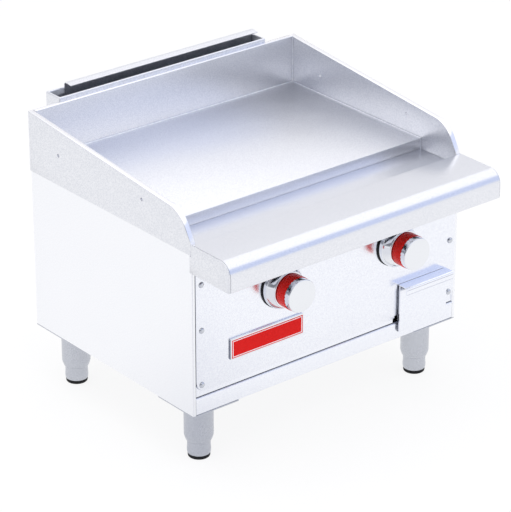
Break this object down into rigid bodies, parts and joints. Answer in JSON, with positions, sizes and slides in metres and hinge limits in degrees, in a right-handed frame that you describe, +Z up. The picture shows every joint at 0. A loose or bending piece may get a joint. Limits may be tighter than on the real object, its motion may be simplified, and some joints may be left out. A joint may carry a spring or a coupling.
{
  "type": "flat top griddle",
  "caption": "Countertop gas griddle: polished steel plate between splash guards over a stainless cabinet, with control knobs, grease drawer, rear flue and adjustable legs.",
  "frame": {"origin": "centre of the object's outline, on the floor", "axes": "+X to the right of someone facing the controls, +Y to the back (flue), +Z up"},
  "size_m": [0.612, 0.611, 0.549],
  "materials": {
    "stainless_sheet": "satin polished stainless sheet",
    "ground_plate": "ground and polished steel plate",
    "aluminised_steel": "dull aluminised sheet and tube",
    "knob_chrome": "polished chrome",
    "leg_steel": "satin plated leg tube",
    "valve_brass": "machined brass",
    "iron_pipe": "black iron pipe",
    "black_rubber": "matt black rubber",
    "red_ring": "glossy red moulding",
    "nameplate_red": "bare red plate in a bright rim"
  },
  "bodies": {
    "cabinet": {"back_panel": "stainless_sheet", "bottom_panel": "stainless_sheet", "bottom_rail": "stainless_sheet", "burner_left": "aluminised_steel", "burner_rest": "aluminised_steel", "burner_right": "aluminised_steel", "control_panel": "stainless_sheet", "drawer_guide": "stainless_sheet", "flue_deflector": "stainless_sheet", "flue_riser": "stainless_sheet", "front_frame": "stainless_sheet", "front_shelf": "stainless_sheet", "gas_manifold": "iron_pipe", "gas_valve_left": "valve_brass", "gas_valve_right": "valve_brass", "grease_trough": "stainless_sheet", "griddle_plate": "ground_plate", "heat_shield": "aluminised_steel", "knob_bezel_left": "knob_chrome", "knob_bezel_right": "knob_chrome", "knob_gasket_left": "black_rubber", "knob_gasket_right": "black_rubber", "leg_front_left": "leg_steel", "leg_front_right": "leg_steel", "leg_rear_left": "leg_steel", "leg_rear_right": "leg_steel", "manifold_bracket": "aluminised_steel", "nameplate": "nameplate_red", "panel_screw_1": "knob_chrome", "panel_screw_2": "knob_chrome", "panel_screw_3": "knob_chrome", "panel_screw_4": "knob_chrome", "panel_screw_5": "knob_chrome", "panel_screw_6": "knob_chrome", "pilot_burners": "aluminised_steel", "plate_rest_front": "aluminised_steel", "plate_rest_rear": "aluminised_steel", "side_panel_left": "stainless_sheet", "side_panel_right": "stainless_sheet", "splash_back": "stainless_sheet", "splash_left": "stainless_sheet", "splash_right": "stainless_sheet"},
    "knob_left_turning": {"knob_left": "knob_chrome", "knob_ring_left": "red_ring", "valve_stem_left": "valve_brass"},
    "shutter_left": {"air_shutter_left": "stainless_sheet"},
    "knob_right_turning": {"knob_right": "knob_chrome", "knob_ring_right": "red_ring", "valve_stem_right": "valve_brass"},
    "shutter_right": {"air_shutter_right": "stainless_sheet"},
    "drawer": {"drawer_front": "stainless_sheet", "drawer_tray": "stainless_sheet"},
    "adjuster_front_left": {"foot_front_left": "leg_steel", "foot_pad_front_left": "black_rubber"},
    "adjuster_front_right": {"foot_front_right": "leg_steel", "foot_pad_front_right": "black_rubber"},
    "adjuster_rear_left": {"foot_rear_left": "leg_steel", "foot_pad_rear_left": "black_rubber"},
    "adjuster_rear_right": {"foot_rear_right": "leg_steel", "foot_pad_rear_right": "black_rubber"}
  },
  "joints": [
    {"name": "knob_left_turn", "type": "hinge", "parent": "cabinet", "child": "knob_left_turning", "pos_m": [-0.1137, -0.2515, 0.3065], "axis": [0, -1, 0], "range_deg": [0, 90]},
    {"name": "knob_right_turn", "type": "hinge", "parent": "cabinet", "child": "knob_right_turning", "pos_m": [0.151, -0.2515, 0.3065], "axis": [0, -1, 0], "range_deg": [0, 90]},
    {"name": "shutter_left_turn", "type": "hinge", "parent": "cabinet", "child": "shutter_left", "pos_m": [-0.1137, -0.1395, 0.3065], "axis": [0, -1, 0], "range_deg": [-30, 30]},
    {"name": "shutter_right_turn", "type": "hinge", "parent": "cabinet", "child": "shutter_right", "pos_m": [0.151, -0.1395, 0.3065], "axis": [0, -1, 0], "range_deg": [-30, 30]},
    {"name": "drawer_slide", "type": "slide", "parent": "cabinet", "child": "drawer", "axis": [0, -1, 0], "range_m": [0, 0.38]},
    {"name": "foot_front_left_height", "type": "slide", "parent": "cabinet", "child": "adjuster_front_left", "axis": [0, 0, -1], "range_m": [0, 0.025]},
    {"name": "foot_front_right_height", "type": "slide", "parent": "cabinet", "child": "adjuster_front_right", "axis": [0, 0, -1], "range_m": [0, 0.025]},
    {"name": "foot_rear_left_height", "type": "slide", "parent": "cabinet", "child": "adjuster_rear_left", "axis": [0, 0, -1], "range_m": [0, 0.025]},
    {"name": "foot_rear_right_height", "type": "slide", "parent": "cabinet", "child": "adjuster_rear_right", "axis": [0, 0, -1], "range_m": [0, 0.025]}
  ]
}
